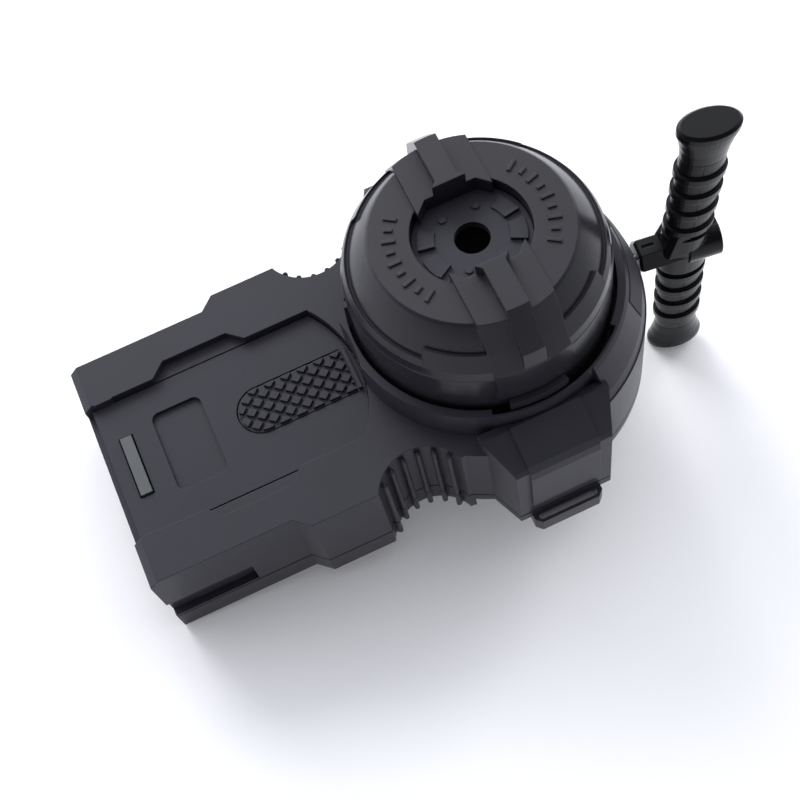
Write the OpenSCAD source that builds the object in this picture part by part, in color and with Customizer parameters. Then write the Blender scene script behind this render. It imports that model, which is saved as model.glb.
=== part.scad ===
// String-pull spinning top launcher with a left and right selector dial.
// Origin: launch axis at the face that the spinning top seats on. +Z is up through the dial,
// +X points to the pull handle and the flat grip runs back along -X.

/* [Housing] */
// Height of the grip's centre panel above the underside
deck_z = 25; // [23:0.5:29]
// Height of the joint line between the upper and the lower housing
seam_z = 6.2; // [5.8:0.1:6.8]
// Wall thickness of the housings
wall = 2; // [1.4:0.1:2.4]
// Outer radius of the round turret
turret_r = 32.3; // [31.5:0.1:34]
// Height of the turret's underside above the grip's underside
turret_floor_z = 3.5; // [3:0.1:3.8]
// Thickness of the turret floor round the launch opening
floor_t = 2; // [1.6:0.1:2]
// Width of the slope between the turret's wall and the collar
shoulder_run = 4.3; // [3.8:0.1:4.8]
// Wall thickness of the collar
collar_t = 1.6; // [1.2:0.1:1.6]
// Height of the collar above the centre panel
collar_h = 10; // [9:0.1:11]
// Depth of the joint line groove round the housing
seam_groove = 0.4; // [0.2:0.1:0.6]

/* [Grip] */
// Distance from the launch axis to the rear end
rear_x = 80.8; // [78:0.1:84]
// Half width of the grip at its side rails
rail_half = 25; // [24:0.1:26]
// Half width of the grip at its knuckles
knuckle_half = 27.7; // [27:0.1:28.5]
// Distance from the launch axis to the start of the knuckles
flare_x = 51.3; // [49:0.1:53]
// Length of the slope from rail to knuckle
flare_run = 3; // [2:0.1:5]
// Height of the rails above the centre panel
rail_h = 1.9; // [1.4:0.1:2.4]
// Size of the slope at the rails' rear ends
rail_end_slope = 1.8; // [1:0.1:2.2]
// Radius of the finger hollows
hollow_r = 9.2; // [8.4:0.1:10]
// Distance from the turret's rear face forward to the finger hollows
hollow_inset = 6.3; // [5.3:0.1:7.3]
// Half width left between the finger hollows
hollow_half = 21.9; // [21.4:0.1:23]
// Ribs in each finger hollow
rib_count = 6; // [4:1:7]
// Width of one finger rib
rib_w = 1.1; // [0.8:0.1:1.4]
// Height of one finger rib above the hollow
rib_h = 1.3; // [0.8:0.1:1.6]
// Height of the side grooves
groove_h = 7.2; // [5:0.1:8]
// Depth of the side grooves
groove_depth = 1.5; // [1:0.1:1.5]
// Length of the side grooves
groove_len = 18.2; // [14:0.1:22]

/* [Centre panel] */
// Half width of the centre panel
panel_half = 15.1; // [14.6:0.1:15.4]
// Thickness of the centre panel
panel_t = 2.2; // [1.8:0.1:2.4]
// Distance from the grip's rear end to the panel's rear edge
panel_inset = 1.4; // [1:0.1:2]
// Depth that the panel's front arc reaches under the collar
panel_tuck = 0.8; // [0.4:0.1:1.2]
// Radius of the panel's front arc
panel_arc_r = 26; // [25:0.5:30]
// Gap round the centre panel
panel_gap = 0.25; // [0.15:0.05:0.4]
// Length of the shallow recess on the panel
recess_len = 10.4; // [8:0.1:12]
// Width of the shallow recess on the panel
recess_w = 17.8; // [14:0.1:20]
// Distance from the grip's rear end to the recess's centre
recess_inset = 17; // [16:0.1:18]
// Depth of the shallow recess
recess_depth = 0.9; // [0.5:0.1:1]
// Length of the thumb pad
pad_len = 23.6; // [20:0.1:25]
// Width of the thumb pad
pad_w = 10; // [8:0.1:12]
// Distance from the crown of the panel's front arc to the thumb pad
pad_inset = 2.2; // [1.8:0.1:3.5]
// Spacing of the thumb pad's diamonds along the pad
knurl_pitch = 3; // [2.5:0.1:4]
// Width of the grooves between the diamonds
knurl_gap = 0.75; // [0.5:0.05:0.9]
// Height of the diamonds
knurl_h = 0.7; // [0.4:0.1:0.9]
// Width of the trapezoid notches beside the panel
notch_depth = 3.1; // [2.5:0.1:3.6]
// Length of the trapezoid notches at their outer edge
notch_len = 13.8; // [11:0.1:15]
// Distance from the grip's rear end to the notches' centre
notch_inset = 25.2; // [24:0.1:26.5]

/* [Latch bar] */
// Length of the latch bar across the grip
latch_len = 13.2; // [11:0.1:15]
// Width of the latch bar
latch_w = 2.4; // [2.2:0.1:3]
// Height of the latch bar above the panel
latch_proud = 0.5; // [0.3:0.1:0.8]
// Travel of the latch bar
latch_travel = 1.2; // [0.8:0.1:1.4]
// Distance from the grip's rear end to the latch bar
latch_inset = 5.8; // [5.4:0.1:6.4]

/* [Brackets] */
// Reach of the brackets beyond the turret's wall
bracket_reach = 4.1; // [3.6:0.1:4.6]
// Half width of the brackets' outer faces
bracket_half = 10; // [9:0.1:10.5]
// Half width of the brackets' raised centre plates
plate_half = 7.3; // [6.5:0.1:7.8]
// Length of the accessory loops under the brackets
loop_len = 15; // [13:0.1:16]
// Reach of the accessory loops beyond the brackets
loop_reach = 2.4; // [2:0.1:3]
// Width of the slot through each loop
loop_slot = 1.2; // [0.8:0.1:1.4]

/* [Dial] */
// Gap between the dial's skirt and the collar
dial_gap = 0.9; // [0.7:0.1:1.2]
// Radius of the dial's flat top
dial_top_r = 19; // [18.2:0.1:19.6]
// Height of the dial's top above the centre panel
dial_top_h = 30.6; // [29.6:0.1:32]
// Wall thickness of the dial
dial_wall = 1.8; // [1.4:0.1:2]
// Radius of the recess in the dial's top
hub_recess_r = 11.3; // [10.8:0.1:12]
// Depth of the recess in the dial's top
hub_recess_depth = 2.8; // [2.4:0.1:3.2]
// Radius of the hole through the dial's hub
hub_hole_r = 3.35; // [3:0.05:4]
// Thickness of the hub disc
hub_t = 1.8; // [1.4:0.1:2.2]
// Width of the dial's two grip ribs
dial_rib_w = 15; // [13:0.1:16]
// Height of the grip ribs above the dial's top
dial_rib_h = 1; // [0.7:0.1:1.4]
// Width of the ridge on each grip rib
ridge_w = 4.4; // [3.6:0.1:5.2]
// Height of the ridge above the dial's top
ridge_h = 3.6; // [3:0.1:4.2]

/* [Gear train] */
// Module of the gears
gear_module = 0.8; // [0.78:0.01:0.8]
// Teeth on the head pinion
pinion_teeth = 12;
// Teeth on the idler gears that mesh with the pinion
idler_teeth = 20;
// Teeth on the second idler's lower section
reverse_teeth = 14;
// Teeth on the drum gear
drum_teeth = 42;
// Thickness of each row of gears
gear_t = 2; // [1.8:0.1:2]
// Distance from the launch axis back to the drum's axle
drum_x = 37; // [36.6:0.1:37.3]
// Radius of the drum's axle
axle_r = 1.5; // [1.3:0.1:1.8]
// Radius of the head's shaft
shaft_r = 2; // [1.8:0.1:2.2]
// Radius of the idlers' pins
pin_r = 1.3; // [1.1:0.1:1.5]
// Radial clearance of a running fit
run_fit = 0.05; // [0.03:0.01:0.09]
// Gap between pieces that pass one another
gap = 0.3; // [0.25:0.05:0.35]

/* [String and drum] */
// Diameter of the pull string
string_d = 1.2; // [1:0.1:1.4]
// Radius of the drum's core under the string
core_r = 8.9; // [8:0.1:9.4]
// Radius of the drum's flanges
flange_r = 13.5; // [13:0.1:14]
// Height of the string's exit above the underside
string_z = 18; // [17.8:0.1:18.2]

/* [Launch head] */
// Radius of the launch head's seat disc
head_r = 15; // [14:0.1:15.4]
// Radius of the centring pin under the head
centre_pin_r = 4.2; // [3.8:0.1:4.6]
// Length of the centring pin
centre_pin_len = 4; // [3.5:0.1:4.5]
// Radius at which the prongs stand
prong_r = 9.6; // [9:0.1:10.5]
// Length of the prongs
prong_len = 7; // [6:0.1:8]
// Radius of the release plunger
plunger_r = 2.3; // [2:0.1:2.6]
// Travel of the release plunger
plunger_travel = 1.2; // [0.8:0.1:1.4]

/* [Handle] */
// Length of the handle's cross bar
bar_len = 82; // [76:1:88]
// Depth of the cross bar's oval section, along the pull
bar_d = 9.4; // [8.6:0.1:10]
// Breadth of the cross bar's oval section
bar_w = 6.6; // [6:0.1:7.2]
// Depth of the oval end caps
cap_d = 12.6; // [11.5:0.1:13.5]
// Breadth of the oval end caps
cap_w = 7.6; // [7:0.1:8.4]
// Thickness of the flared end caps
cap_len = 9; // [7:0.1:11]
// Ring ribs on each arm
ring_count = 4; // [3:1:5]
// Distance from the boss to the first ring rib
ring_start = 4.6; // [3.6:0.1:5.6]
// Distance from the last ring rib to the end cap
ring_end = 5; // [4:0.1:6]
// Height of the ring ribs
ring_h = 0.6; // [0.4:0.1:0.8]
// Gap between the string guide and the handle's nose at rest
nose_gap = 0.9; // [0.7:0.1:1.7]
// Length from the nose's tip to the bar's centre
nose_len = 10.4; // [9.8:0.1:11.5]
// Radius of the six-sided nose
nose_r = 3.85; // [3.5:0.05:4.2]
// Radius of the boss behind the bar
boss_r = 4.4; // [4:0.1:4.8]
// Length from the bar's centre to the boss's end
boss_len = 7; // [6.4:0.1:8]
// Angle that the loose handle hangs at about the vertical
handle_yaw = -7; // [-10:1:0]
// Lean of the loose handle away from the turret
handle_pitch = 1.5; // [0:0.5:3]
// Sweep of each arm away from the turret
arm_sweep = 2; // [0:0.5:4]

/* [Hidden] */
$fn = 72;

// Overrun of every cut beyond the face that it opens
over = 1;
// Turn of the dial between its two settings
dial_swing = 30;

// Places along the grip and round the turret
collar_r = turret_r - shoulder_run;
hollow_x = turret_r - hollow_inset;
panel_rear_x = rear_x - panel_inset;
panel_front_x = collar_r - panel_tuck;
recess_x = rear_x - recess_inset;
pad_front_x = panel_front_x + pad_inset;
notch_x = rear_x - notch_inset;
latch_x = rear_x - latch_inset;
bracket_y = turret_r + bracket_reach;

// Upper housing levels
rail_z = deck_z + rail_h;
collar_z = deck_z + collar_h;
turret_deck_rise = 1.7;
turret_deck_z = deck_z + turret_deck_rise;
turret_deck_t = 2.4;
turret_deck_under = turret_deck_z - turret_deck_t;
panel_under = deck_z - panel_t;
// Height of the clear space under the grip's deck
roof_ledge = 0.6;
grip_roof_z = panel_under - roof_ledge;
collar_in_r = collar_r - collar_t;
// Sloped shoulder in front of the collar, from its foot to its top
shoulder_half_angle = 66;
shoulder_step = 0.3;
shoulder_foot = [turret_r - 0.9, deck_z + 2.4];
shoulder_top = [collar_r + 0.6, collar_z - 1];
shoulder_run_len = norm(shoulder_top - shoulder_foot);
// Label plates let into the shoulder
label_depth = 0.6;
label_proud = 0.15;
label_margin = 0.5;
label_spans = [[46, 64], [-33, 14]];
floor_top_z = turret_floor_z + floor_t;
hollow_y = hollow_half + hollow_r;
bracket_spread = 3.3;
bracket_base_half = bracket_half + bracket_spread;
bracket_base_y = bracket_y - 8;
// Heights of the bracket's profile above the underside
bracket_crease_z = deck_z + 2.5;
bracket_top_z = deck_z + 6;
bracket_top_y = collar_r + 0.5;
bracket_crease_y = bracket_y - 0.6;
bracket_band_z = 11;
bracket_band = 0.5;
bracket_crease_t = 1;
plate_proud = 0.7;
lip_w = 3.2;
lip_r = head_r + lip_w;
window_start = -110;
window_end = -46;
window_floor_z = deck_z + 5;
window_wall = 0.5;
window_r = collar_r - window_wall;

// Dial levels
dial_r = collar_in_r - dial_gap;
skirt_bottom_z = turret_deck_z + gap;
dial_top_z = deck_z + dial_top_h;
// The skirt's top edge and the slope's foot above it
skirt_top_z = dial_top_z - 10.4;
dial_foot_z = skirt_top_z + 1.8;
dial_foot_r = dial_r - 1;
dial_edge = 0.5;
dial_bulge = 0.25;
arc_steps = 9;
tube_set = 3.7;
tube_r = dial_r - tube_set;
tube_wall = 1.9;
tube_bottom_z = turret_deck_under - gap;
retainer_t = 1.6;
retainer_z = tube_bottom_z - retainer_t;
retainer_w = 8.5;
hub_top_z = dial_top_z - hub_recess_depth;
hub_under_z = hub_top_z - hub_t;
hub_ledge = 2.2;
hub_clear = 0.1;
foot_half_angle = 12.6;
foot_bottom_z = window_floor_z + gap;
foot_h = 6.8;
// Profile of the grip ribs as radii and heights
dial_rib_inner = 6.7;
dial_rib_set = 9.1;
rib_bend_r = 20;
rib_crease_r = 23.3;
rib_crease_z = dial_top_z - 4.2;
rib_side_r = dial_r + 0.4;
rib_side_z = skirt_top_z + 1.8;
rib_bottom_z = collar_z + 2.6;
ridge_bend_r = 19.8;
ridge_low_r = dial_r - 0.1;
ridge_low_z = dial_top_z - 3.9;
ridge_chamfer = 1.1;
// Raised band round the dial's upper edge: it reaches higher beside the ribs
band_start = 8;
band_end = 48;
band_stop = 90;
band_proud = 0.5;
band_high_share = 0.42;
band_low_share = 0.17;
detent_r = 0.8;
detent_leaf_t = 0.5;
detent_leaf_w = 7.2;
pilot_r = 0.6;
small_head_r = 1.3;
small_head_h = 0.9;

// Gear positions: the drum turns the idler, and the idler turns the reverse gear. The pinion
// meshes with the idler when it is down and with the reverse gear's upper section when it is up.
gear_rise = 1.8;
gear_z = floor_top_z + gear_rise;
row_gap = gap;
shift = gear_t + row_gap;
gear_top_z = gear_z + gear_t;
upper_row_z = gear_z + shift;
idler_reach = gear_module * (pinion_teeth + idler_teeth) / 2;
reverse_reach = gear_module * (idler_teeth + reverse_teeth) / 2;
drum_reach = gear_module * (drum_teeth + idler_teeth) / 2;
addendum = 0.8 * gear_module;
dedendum = 1.15 * gear_module;
idler_share = (idler_reach * idler_reach + drum_x * drum_x - drum_reach * drum_reach)
              / (2 * idler_reach * drum_x);
idler_angle = 180 + acos(idler_share);
reverse_angle = idler_angle - 2 * asin(reverse_reach / (2 * idler_reach));

// Phase of a gear with teeth_b that meshes in direction dir with a gear at phase_a
function mesh_phase(dir, phase_a, teeth_a, teeth_b) =
    dir + 180 + 180 / teeth_b - (phase_a - dir) * teeth_a / teeth_b;
function on_circle(r, angle) = [r * cos(angle), r * sin(angle)];
function heading(from, to) = atan2(to[1] - from[1], to[0] - from[0]);
// Height of the cam's underside after a turn of the dial
function cam_z(turn) = cam_high_z - shift + shift * min(1, max(0, turn / dial_swing));
// Radius of the spiral spring after a share of its length
function spiral_r(share) = spiral_r1 + (spiral_r2 - spiral_r1) * share;

drum_pos = [-drum_x, 0];
idler_pos = on_circle(idler_reach, idler_angle);
reverse_pos = on_circle(idler_reach, reverse_angle);
idler_phase = mesh_phase(idler_angle, 0, pinion_teeth, idler_teeth);
reverse_phase = mesh_phase(heading(idler_pos, reverse_pos), idler_phase,
                           idler_teeth, reverse_teeth);
upper_phase = mesh_phase(reverse_angle, 0, pinion_teeth, idler_teeth);
drum_phase = mesh_phase(heading(idler_pos, drum_pos), idler_phase, idler_teeth, drum_teeth);

// Pinion hub, fork and cam
neck_r = shaft_r + 1.1;
neck_h = 1.5;
hub_flange_r = shaft_r + 1.8;
hub_flange_t = 0.7;
key_w = 1;
key_proud = 0.5;
fork_t = 1.1;
fork_z = gear_top_z + (neck_h - fork_t) / 2;
fork_ring_r = neck_r + 1.8;
fork_angle = -75;
fork_reach = 19.4;
fork_arm_w = 4.4;
fork_tube_r = 2.2;
guide_pin_r = 1;
follower_r = 1;
cam_gap = 0.15;
cam_land = 0.4;
cam_in_r = fork_reach - 1.6;
cam_out_r = fork_reach + 1.6;
cam_high_z = retainer_z - cam_land;
follower_top_z = cam_high_z - shift - cam_gap;
cam_steps = 12;
cam_margin = 5;

// Screws of the retainer, inside the rim that holds the dial in its bearing
retainer_screw_turns = [45, 135, 225, 315];
retainer_screw_r = tube_r - tube_wall / 2;

// Gear plate and drum levels
gear_plate_z = upper_row_z + gear_t + neck_h + hub_flange_t + gap;
gear_plate_t = 1.5;
plate_posts = [[18.6, 6.4], [-4.6, -20.6], [1.2, 20.6]];
plate_post_r = 2.1;
plate_pilot_r = 0.75;
plate_screw_r = 1.25;
plate_screw_head_h = 0.8;
plate_screw_len = 4;
plate_arm_w = 5.2;
plate_rim = 3.4;
bush_wall = 1;
shaft_top_z = gear_plate_z + gear_plate_t;
drum_bottom_z = gear_top_z;
string_zone = 4.4;
zone_z = string_z - string_zone / 2;
flange_t = 0.9;
drum_top_z = zone_z + string_zone + flange_t;
winding_r = core_r + 2 * string_d;
arbor_r = 3;
axle_boss_wall = 0.8;
axle_boss_r = axle_r + axle_boss_wall;
cup_r = 15.8;
cup_wall = 0.9;
cup_base_t = 0.8;
strip_t = 0.35;
spiral_turns = 6;
spiral_r1 = arbor_r + strip_t / 2 + 2 * run_fit;
spiral_r2 = cup_r - cup_wall - strip_t / 2;

// Head levels
head_flange_r = head_r + 1.4;
head_flange_t = 0.9;
head_disc_top = floor_top_z + gap;
plunger_bore_r = plunger_r + run_fit;
plunger_out = 1.6;
plunger_len = 5;
plunger_spring_len = 1.2;
plunger_wire = 0.3;
plunger_coil_r = 1.5;
plunger_top_z = plunger_len - centre_pin_len - plunger_out;
plunger_bore_top = plunger_top_z + plunger_travel + plunger_spring_len;
prong_t = 2;
prong_half_angle = 16;
prong_toe = 1.4;
prong_toe_h = 1.5;

// Handle places
string_r = string_d / 2;
string_bore_r = string_r + 0.25;
guide_r = 3;
guide_flange_r = 4.4;
guide_reach = 1;
guide_tip_x = turret_r + guide_reach;
nose_x = guide_tip_x + nose_gap;
knot_r = 1.6;
arm_len = bar_len / 2 - cap_len;
ring_first = boss_r + ring_start;
ring_pitch = (arm_len - ring_first - ring_end) / (ring_count - 1);
ring_half = 0.9;
root_grow = 1;
root_half = boss_r + 2;
nose_chamfer = 0.6;
nose_slot_w = 0.7;
nose_slot_len = 2.6;
nose_slot_depth = 0.4;
handle_screw_z = boss_r + 1;
handle_screw_r = 0.7;
handle_screw_head_r = 1.2;
handle_screw_in = 1.8;
// Sides of the handle's ovals
oval_steps = 36;

// Fasteners
screw_r = 1.25;
screw_head_r = 2.3;
screw_head_h = 1.5;
screw_boss_r = 2.9;
screw_sink = 0.5;
screw_inset_x = 8.8;
screw_inset_y = 5.8;
screw_neck_x = 44;
screw_neck_inset = 6.1;
screw_turret_inset = 5.75;
screw_turret_angle = 39.8;
screw_grip_z = 13;
grip_screw_x = screw_inset_x - rear_x;
grip_screw_y = rail_half - screw_inset_y;
neck_screw_y = knuckle_half - screw_neck_inset;
turret_screw_r = turret_r - screw_turret_inset;
grip_screws = [[grip_screw_x, grip_screw_y], [grip_screw_x, -grip_screw_y]];
neck_screws = [[-screw_neck_x, neck_screw_y], [-screw_neck_x, -neck_screw_y]];
turret_screws = [for (turn = [1, -1]) on_circle(turret_screw_r, turn * screw_turret_angle)];
retainer_r = turret_screw_r - screw_boss_r - gap;
retainer_in_r = retainer_r - retainer_w;
detent_orbit = retainer_r + gap + detent_r;

// Outline of the grip, t inside its outer faces
function grip_points(t) = [
    [-rear_x + t, -rail_half + t], [-flare_x, -rail_half + t],
    [-flare_x + flare_run, -knuckle_half + t], [0, -knuckle_half + t],
    [0, knuckle_half - t], [-flare_x + flare_run, knuckle_half - t],
    [-flare_x, rail_half - t], [-rear_x + t, rail_half - t]];

// Outline of one pair of brackets, t inside their outer faces
function bracket_points(t) = [
    [-bracket_base_half + t, -bracket_base_y], [-bracket_half + t, -bracket_y + t],
    [bracket_half - t, -bracket_y + t], [bracket_base_half - t, -bracket_base_y],
    [bracket_base_half - t, bracket_base_y], [bracket_half - t, bracket_y - t],
    [-bracket_half + t, bracket_y - t], [-bracket_base_half + t, bracket_base_y]];

// Plan of the whole housing, t inside its outer faces
module body_plan(t = 0) {
    difference() {
        union() {
            polygon(grip_points(t));
            circle(r = turret_r - t);
            polygon(bracket_points(t));
        }
        for (side = [-1, 1])
            translate([-hollow_x, side * hollow_y]) circle(r = hollow_r + t);
    }
}

// Plan of the centre panel, shrunk by t
module panel_plan(t = 0) {
    arc_x = -panel_front_x - panel_arc_r;
    intersection() {
        translate([-panel_rear_x + t, -panel_half + t])
            square([panel_rear_x - panel_front_x - 2 * t, 2 * (panel_half - t)]);
        union() {
            translate([arc_x, 0]) circle(r = panel_arc_r - t);
            translate([-rear_x, -panel_half]) square([rear_x + arc_x, 2 * panel_half]);
        }
    }
}

// Flat bar with round ends between two points
module bar_plan(p, q, w) {
    length = norm(q - p);
    translate(p) rotate(heading(p, q)) {
        circle(r = w / 2);
        translate([0, -w / 2]) square([length, w]);
        translate([length, 0]) circle(r = w / 2);
    }
}

// Toothed outline of a spur gear
module gear_plan(teeth, phase) {
    pitch_r = gear_module * teeth / 2;
    step = 360 / teeth;
    root_share = 0.3;
    tip_share = 0.12;
    polygon([for (i = [0:teeth - 1])
        let (mid = phase + i * step)
        each [on_circle(pitch_r - dedendum, mid - root_share * step),
              on_circle(pitch_r + addendum, mid - tip_share * step),
              on_circle(pitch_r + addendum, mid + tip_share * step),
              on_circle(pitch_r - dedendum, mid + root_share * step)]]);
}

// Spur gear with its bore, standing on z = 0
module spur_gear(teeth, phase, bore_r, height) {
    difference() {
        linear_extrude(height) gear_plan(teeth, phase);
        translate([0, 0, -over]) cylinder(r = bore_r, h = height + 2 * over);
    }
}

// Ring with a rectangular section
module ring(r_in, r_out, height) {
    difference() {
        cylinder(r = r_out, h = height);
        translate([0, 0, -over]) cylinder(r = r_in, h = height + 2 * over);
    }
}

// Sector of a ring between two angles
module ring_sector(r_in, r_out, height, start, end) {
    rotate(start) rotate_extrude(angle = end - start)
        translate([r_in, 0]) square([r_out - r_in, height]);
}

// Wire spring as one unbroken tube, standing on z = 0
module wire_spring(r, wire, height, turns) {
    sides = 6;
    rings = 12 * turns;
    rise = (height - wire) / rings;
    points = [for (i = [0:rings], k = [0:sides - 1])
        let (rho = r + wire / 2 * cos(k * 360 / sides))
        [rho * cos(30 * i), rho * sin(30 * i), wire / 2 * (1 + sin(k * 360 / sides)) + i * rise]];
    last = sides * rings;
    polyhedron(points, concat(
        [[for (k = [sides - 1:-1:0]) k], [for (k = [0:sides - 1]) last + k]],
        [for (i = [0:rings - 1], k = [0:sides - 1])
            let (a = sides * i + k, b = sides * i + (k + 1) % sides)
            each [[a, b, a + sides], [b, b + sides, a + sides]]]));
}

// Self-tapping screw with its head down, from its head's underside at z = 0
module screw(length) {
    slot_w = screw_r / 2;
    slot_h = screw_head_h / 2;
    difference() {
        cylinder(r = screw_head_r, h = screw_head_h);
        for (turn = [0, 90])
            rotate(turn) translate([-screw_r, -slot_w / 2, -over])
                cube([2 * screw_r, slot_w, slot_h + over]);
    }
    translate([0, 0, screw_head_h]) cylinder(r = screw_r, h = length);
}

function all_screws() = concat(grip_screws, neck_screws, turret_screws);
function screw_floor(p) = p[0] > 0 ? turret_floor_z : 0;

// Ribs in the finger hollows, from height low to height high
module finger_ribs(low, high) {
    spread = 104;
    nose_r = rib_w / 2;
    for (side = [-1, 1])
        translate([-hollow_x, side * hollow_y, low])
            for (i = [0:rib_count - 1])
                rotate(-side * 90 + spread * (i / (rib_count - 1) - 0.5))
                    translate([hollow_r - rib_h + nose_r, 0, 0]) {
                        cylinder(r = nose_r, h = high - low - nose_r);
                        translate([0, 0, high - low - nose_r]) cylinder(r1 = nose_r, r2 = nose_r / 3, h = nose_r);
                        translate([0, -nose_r, 0])
                            cube([rib_h + wall / 2, rib_w, high - low - nose_r]);
                    }
}

// Notch outline beside the panel on the +Y side
module notch_plan() {
    slope = notch_depth;
    polygon([[-notch_x - notch_len / 2 - slope, panel_half - over],
             [-notch_x - notch_len / 2 - slope, panel_half + panel_gap],
             [-notch_x - notch_len / 2, panel_half + notch_depth],
             [-notch_x + notch_len / 2, panel_half + notch_depth],
             [-notch_x + notch_len / 2 + slope, panel_half + panel_gap],
             [-notch_x + notch_len / 2 + slope, panel_half - over]]);
}

// Side profile of a bracket in the YZ plane, grown outwards by t
module bracket_profile(t = 0) {
    polygon([[collar_in_r, seam_z], [collar_in_r, bracket_top_z - over],
             [bracket_top_y, bracket_top_z + t], [bracket_crease_y, bracket_crease_z + t],
             [bracket_y + t / 2, bracket_crease_z - 0.9 * bracket_crease_t],
             [bracket_y + t, bracket_crease_z - 3 * bracket_crease_t],
             [bracket_y + t, bracket_band_z], [bracket_y, bracket_band_z - bracket_band],
             [bracket_y, seam_z]]);
}

// Bar along X with the bracket's profile, on the +Y side
module bracket_bar(half, t) {
    translate([half, 0, 0]) rotate([90, 0, -90]) mirror([1, 0, 0])
        linear_extrude(2 * half) bracket_profile(t);
}

// Bracket with its wings and raised centre plate, on the +Y side
module bracket() {
    intersection() {
        bracket_bar(bracket_base_half + over, 0);
        translate([0, 0, seam_z]) linear_extrude(bracket_top_z) polygon(bracket_points(0));
    }
    intersection() {
        bracket_bar(plate_half, plate_proud);
        translate([-plate_half, 0, bracket_band_z - 2 * bracket_band])
            cube([2 * plate_half, bracket_y + over, bracket_top_z]);
    }
}

// Outer form of the upper housing before it is hollowed
module upper_outer() {
    translate([0, 0, seam_z]) linear_extrude(deck_z - seam_z) body_plan();
    translate([0, 0, deck_z - over]) linear_extrude(rail_h + over) difference() {
        body_plan();
        translate([-bracket_base_half + wall, -bracket_y - over])
            square([turret_r + bracket_base_half, 2 * (bracket_y + over)]);
    }
    // Collar and the sloped shoulder in front of it
    translate([0, 0, turret_deck_under]) cylinder(r = collar_r, h = collar_z - turret_deck_under);
    rotate(-shoulder_half_angle) rotate_extrude(angle = 2 * shoulder_half_angle)
        polygon([[collar_in_r, deck_z - over], [turret_r - shoulder_step, deck_z - over],
                 [turret_r - shoulder_step, deck_z + shoulder_step], shoulder_foot,
                 shoulder_top, [collar_r, collar_z], [collar_in_r, collar_z]]);
    for (side = [0, 1]) mirror([0, side, 0]) bracket();
    finger_ribs(seam_z, rail_z - 0.8);
}

// Slopes at the rear ends of the two rails
module rail_end_cuts() {
    for (side = [-1, 1])
        translate([-rear_x, side * (rail_half + panel_half) / 2 + rail_half / 2, rail_z])
            rotate([90, 0, 0]) linear_extrude(rail_half)
                polygon([[-over, -rail_end_slope - over], [rail_end_slope, 0],
                         [rail_end_slope, over], [-over, over]]);
}

// Clear space inside the upper housing
module upper_hollow() {
    roof = grip_roof_z - seam_z;
    translate([0, 0, seam_z - over]) linear_extrude(roof + over) difference() {
        body_plan(wall);
        circle(r = turret_r - wall);
    }
    translate([0, 0, seam_z - over])
        cylinder(r = turret_r - wall, h = turret_deck_under - seam_z + over);
    // Opening under the panel, leaving a ledge that carries it
    translate([0, 0, grip_roof_z - over]) linear_extrude(deck_z) panel_plan(wall);
}

module upper_housing() color([0.11, 0.11, 0.125]) {
    difference() {
        upper_outer();
        upper_hollow();
        // Bearing for the dial's tube and the well inside the collar
        cylinder(r = tube_r + run_fit, h = collar_z + over);
        translate([0, 0, turret_deck_z]) cylinder(r = collar_in_r, h = collar_h + over);
        // Pocket for the centre panel, open through the rear end, and the notches
        translate([0, 0, panel_under]) linear_extrude(deck_z) panel_plan(-panel_gap);
        translate([-rear_x - over, -panel_half - panel_gap, panel_under])
            cube([rear_x - panel_rear_x + 2 * over, 2 * (panel_half + panel_gap), deck_z]);
        translate([0, 0, deck_z]) linear_extrude(deck_z)
            for (side = [0, 1]) mirror([0, side]) notch_plan();
        rail_end_cuts();
        // Windows that the dial's feet swing in
        for (turn = [0, 180]) rotate(turn) translate([0, 0, window_floor_z])
            ring_sector(collar_in_r - over, window_r, collar_h, window_start, window_end);
        // Side grooves
        for (side = [-1, 1])
            translate([-rear_x - over, side * rail_half - groove_depth, seam_z + 0.8])
                cube([groove_len + over, 2 * groove_depth, groove_h]);
        // Seats of the string guide
        translate([turret_r - wall - over, 0, string_z]) rotate([0, 90, 0])
            cylinder(r = guide_r, h = wall + 3 * over);
        // Joint line groove
        translate([0, 0, seam_z - over]) linear_extrude(seam_groove / 2 + over) difference() {
            body_plan(-over);
            body_plan(seam_groove);
        }
        // Seats of the label plates
        for (span = label_spans) label_form(span, over);
    }
    // Bosses for the housing screws
    for (p = all_screws())
        let (top = p[0] > 0 ? turret_deck_under : grip_roof_z)
        translate([p[0], p[1], seam_z]) difference() {
            cylinder(r = screw_boss_r, h = top - seam_z + over / 2);
            translate([0, 0, -over]) cylinder(r = screw_r, h = screw_grip_z - seam_z + over);
        }
}

// Point on the shoulder's slope after a share of it, raised by lift
function slope_point(share, lift) =
    let (run = shoulder_top - shoulder_foot)
    shoulder_foot + run * share + [run[1], -run[0]] * lift / shoulder_run_len;

// Space of a label plate on the shoulder between two angles, standing proud by lift
module label_form(span, lift) {
    low = label_margin / shoulder_run_len;
    rotate(span[0]) rotate_extrude(angle = span[1] - span[0])
        polygon([slope_point(low, -label_depth), slope_point(low, lift),
                 slope_point(1 - low, lift), slope_point(1 - low, -label_depth)]);
}

module label_plate(side) color([0.2, 0.2, 0.21])
    label_form(label_spans[side], label_proud);

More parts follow.
